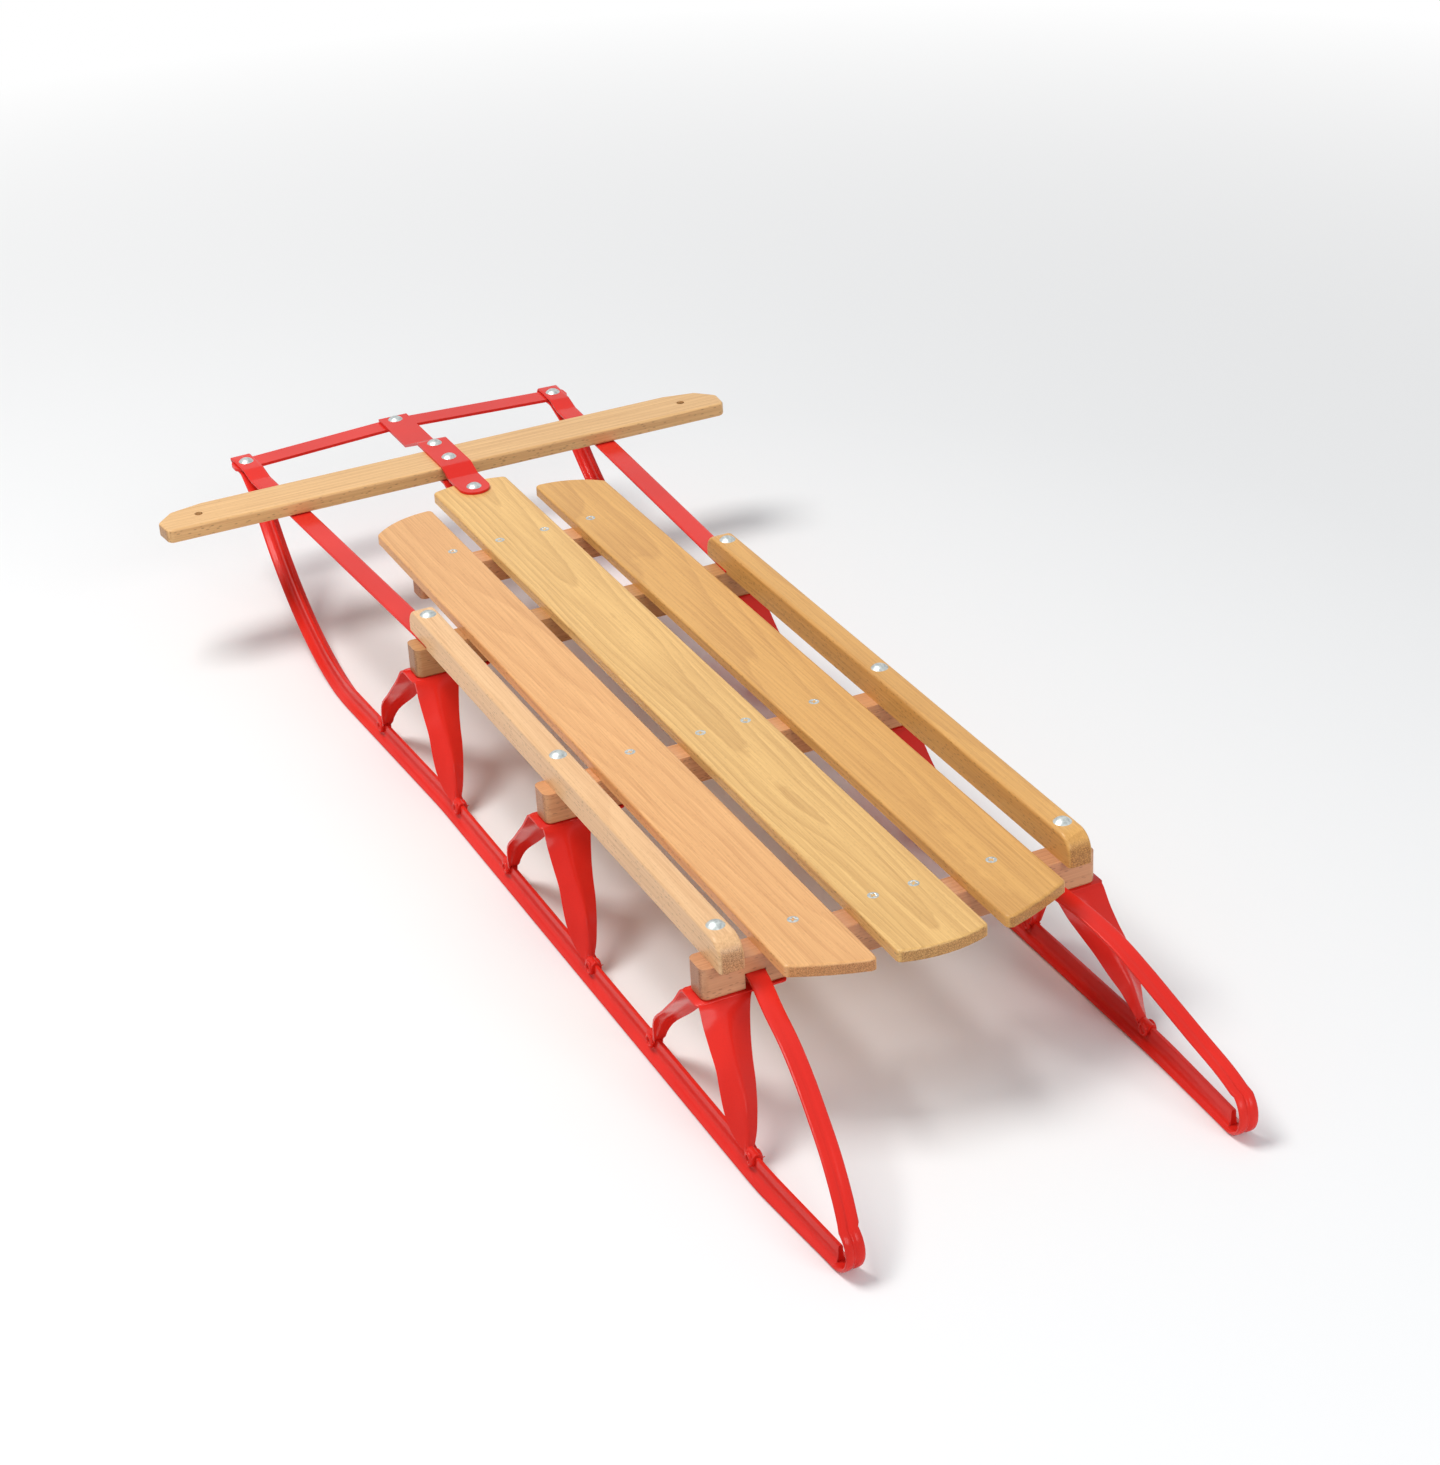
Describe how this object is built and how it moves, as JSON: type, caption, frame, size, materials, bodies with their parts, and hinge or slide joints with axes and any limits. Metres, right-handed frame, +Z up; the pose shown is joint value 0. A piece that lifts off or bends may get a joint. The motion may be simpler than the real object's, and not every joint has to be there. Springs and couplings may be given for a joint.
{
  "type": "wooden runner sled",
  "caption": "Slatted wooden sled on steel runners, with a wooden steering bar that flexes the runners' front ends.",
  "frame": {"origin": "centre of the box's bottom face, on the floor the runners stand on", "axes": "-Y towards the front of the sled, where the steering bar is; +X towards the rider's left; +Z up"},
  "size_m": [0.5994, 1.3489, 0.161],
  "materials": {
    "slat_wood": "varnished pale hardwood",
    "beam_wood": "varnished pale hardwood",
    "red_steel": "gloss red enamel",
    "zinc": "zinc plated"
  },
  "bodies": {
    "sled": {"crossbeam_front": "beam_wood", "crossbeam_middle": "beam_wood", "crossbeam_rear": "beam_wood", "front_batten": "beam_wood", "knee_front_left": "red_steel", "knee_front_right": "red_steel", "knee_middle_left": "red_steel", "knee_middle_right": "red_steel", "knee_rear_left": "red_steel", "knee_rear_right": "red_steel", "pivot_bolt": "zinc", "rail_bolts_left": "zinc", "rail_bolts_right": "zinc", "rail_left": "beam_wood", "rail_right": "beam_wood", "rivets_left": "red_steel", "rivets_right": "red_steel", "runner_left": "red_steel", "runner_right": "red_steel", "slat_centre": "slat_wood", "slat_left": "slat_wood", "slat_right": "slat_wood", "strap_left": "red_steel", "strap_right": "red_steel"},
    "steering": {"bar_bolt_front": "zinc", "bar_bolt_middle": "zinc", "bumper_bolt": "zinc", "steering_bar": "slat_wood", "steering_plate_lower": "red_steel", "steering_plate_upper": "red_steel"},
    "nose_left": {"corner_bolt_left": "zinc", "nose_left": "red_steel"},
    "nose_right": {"corner_bolt_right": "zinc", "nose_right": "red_steel"},
    "bumper": {"bumper": "red_steel"}
  },
  "joints": [
    {"name": "steering_turn", "type": "hinge", "parent": "sled", "child": "steering", "pos_m": [0, -0.4395, 0.142], "axis": [0, 0, 1], "range_deg": [-8, 8], "stiffness_Nm_per_rad": 100},
    {"name": "nose_left_flex", "type": "hinge", "parent": "sled", "child": "nose_left", "pos_m": [0.17, -0.302, 0.07], "axis": [0, 0, 1], "range_deg": [-5.35, 5.35]},
    {"name": "nose_right_flex", "type": "hinge", "parent": "sled", "child": "nose_right", "pos_m": [-0.17, -0.302, 0.07], "axis": [0, 0, 1], "range_deg": [-5.35, 5.35]},
    {"name": "bumper_swivel", "type": "hinge", "parent": "nose_left", "child": "bumper", "pos_m": [0.17, -0.6455, 0.13], "axis": [0, 0, 1], "range_deg": [-5.35, 5.35]}
  ],
  "couplings": [
    {"joint": "nose_left_flex", "follows": "steering_turn", "ratio": 0.6608},
    {"joint": "nose_right_flex", "follows": "steering_turn", "ratio": 0.6608},
    {"joint": "bumper_swivel", "follows": "steering_turn", "ratio": -0.6608}
  ]
}
